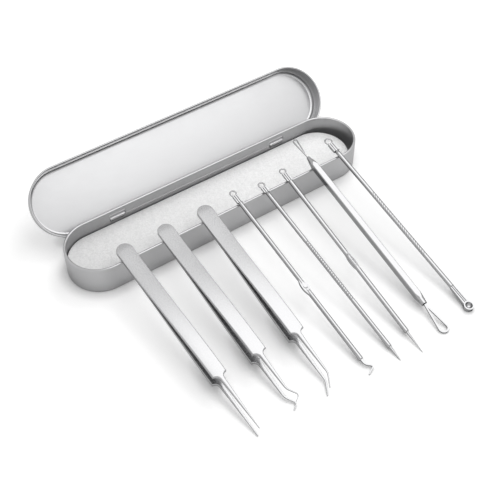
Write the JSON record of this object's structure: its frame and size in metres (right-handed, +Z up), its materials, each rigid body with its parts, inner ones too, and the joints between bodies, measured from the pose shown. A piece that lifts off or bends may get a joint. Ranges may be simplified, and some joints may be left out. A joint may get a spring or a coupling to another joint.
{
  "type": "blackhead extractor kit",
  "caption": "Blackhead extractor kit: slim double-ended extractors and fine-tipped tweezers resting over the rim of their open hinged tin with a foam liner.",
  "frame": {"origin": "middle of the underside of the tin's base", "axes": "+X along the tin to the right, +Y to the tin's back and its lid, +Z up; the tools point towards -Y"},
  "size_m": [0.1844, 0.1875, 0.0345],
  "materials": {
    "tinplate": "satin bare tinplate",
    "liner_foam": "fine-celled white foam",
    "wire_steel": "drawn wire",
    "tweezers_steel": "satin polished stainless steel",
    "handle_steel": "bright polished stainless steel",
    "head_steel": "bright polished stainless steel"
  },
  "bodies": {
    "case": {"case_base": "tinplate", "foam_liner": "liner_foam", "hinge_wire": "wire_steel"},
    "lid": {"lid": "tinplate"},
    "straight_tweezers": {"straight_lower_arm": "tweezers_steel", "straight_upper_root": "tweezers_steel"},
    "straight_upper": {"straight_upper_arm": "tweezers_steel"},
    "hooked_tweezers": {"hooked_lower_arm": "tweezers_steel", "hooked_upper_root": "tweezers_steel"},
    "hooked_upper": {"hooked_upper_arm": "tweezers_steel"},
    "angled_tweezers": {"angled_lower_arm": "tweezers_steel", "angled_upper_root": "tweezers_steel"},
    "angled_upper": {"angled_upper_arm": "tweezers_steel"},
    "hook_extractor": {"hook_ring_head": "head_steel", "hook_handle": "handle_steel", "hook_point": "head_steel"},
    "needle_extractor": {"needle_ring_head": "head_steel", "needle_handle": "handle_steel", "needle_point": "head_steel"},
    "lance_extractor": {"lance_ring_head": "head_steel", "lance_handle": "handle_steel", "lance_point": "head_steel"},
    "loop_extractor": {"loop_small_loop": "head_steel", "loop_bar": "handle_steel", "loop_large_loop": "head_steel"},
    "cup_extractor": {"cup_ring_head": "head_steel", "cup_handle": "handle_steel", "cup_end": "head_steel"}
  },
  "joints": [
    {"name": "lid_hinge", "type": "hinge", "parent": "case", "child": "lid", "pos_m": [0, 0.01825, 0.0096], "axis": [1, 0, 0], "range_deg": [0, 119]},
    {"name": "straight_lift", "type": "slide", "parent": "case", "child": "straight_tweezers", "axis": [0, 0, 1], "range_m": [0, 0.08]},
    {"name": "straight_squeeze", "type": "hinge", "parent": "straight_tweezers", "child": "straight_upper", "pos_m": [-0.06326, -0.03277, 0.01637], "axis": [0.9999, 0.0157, 0], "range_deg": [0, 4.2], "stiffness_Nm_per_rad": 2, "springref_deg": -0.09},
    {"name": "hooked_lift", "type": "slide", "parent": "case", "child": "hooked_tweezers", "axis": [0, 0, 1], "range_m": [0, 0.08]},
    {"name": "hooked_squeeze", "type": "hinge", "parent": "hooked_tweezers", "child": "hooked_upper", "pos_m": [-0.03961, -0.03278, 0.01645], "axis": [1, -0.007, 0], "range_deg": [0, 4.9], "stiffness_Nm_per_rad": 2, "springref_deg": -0.09},
    {"name": "angled_lift", "type": "slide", "parent": "case", "child": "angled_tweezers", "axis": [0, 0, 1], "range_m": [0, 0.08]},
    {"name": "angled_squeeze", "type": "hinge", "parent": "angled_tweezers", "child": "angled_upper", "pos_m": [-0.01606, -0.03277, 0.0164], "axis": [0.9996, -0.0297, 0], "range_deg": [0, 4.3], "stiffness_Nm_per_rad": 2, "springref_deg": -0.09},
    {"name": "hook_lift", "type": "slide", "parent": "case", "child": "hook_extractor", "axis": [0, 0, 1], "range_m": [0, 0.08]},
    {"name": "needle_lift", "type": "slide", "parent": "case", "child": "needle_extractor", "axis": [0, 0, 1], "range_m": [0, 0.08]},
    {"name": "lance_lift", "type": "slide", "parent": "case", "child": "lance_extractor", "axis": [0, 0, 1], "range_m": [0, 0.08]},
    {"name": "loop_lift", "type": "slide", "parent": "case", "child": "loop_extractor", "axis": [0, 0, 1], "range_m": [0, 0.08]},
    {"name": "cup_lift", "type": "slide", "parent": "case", "child": "cup_extractor", "axis": [0, 0, 1], "range_m": [0, 0.08]}
  ]
}
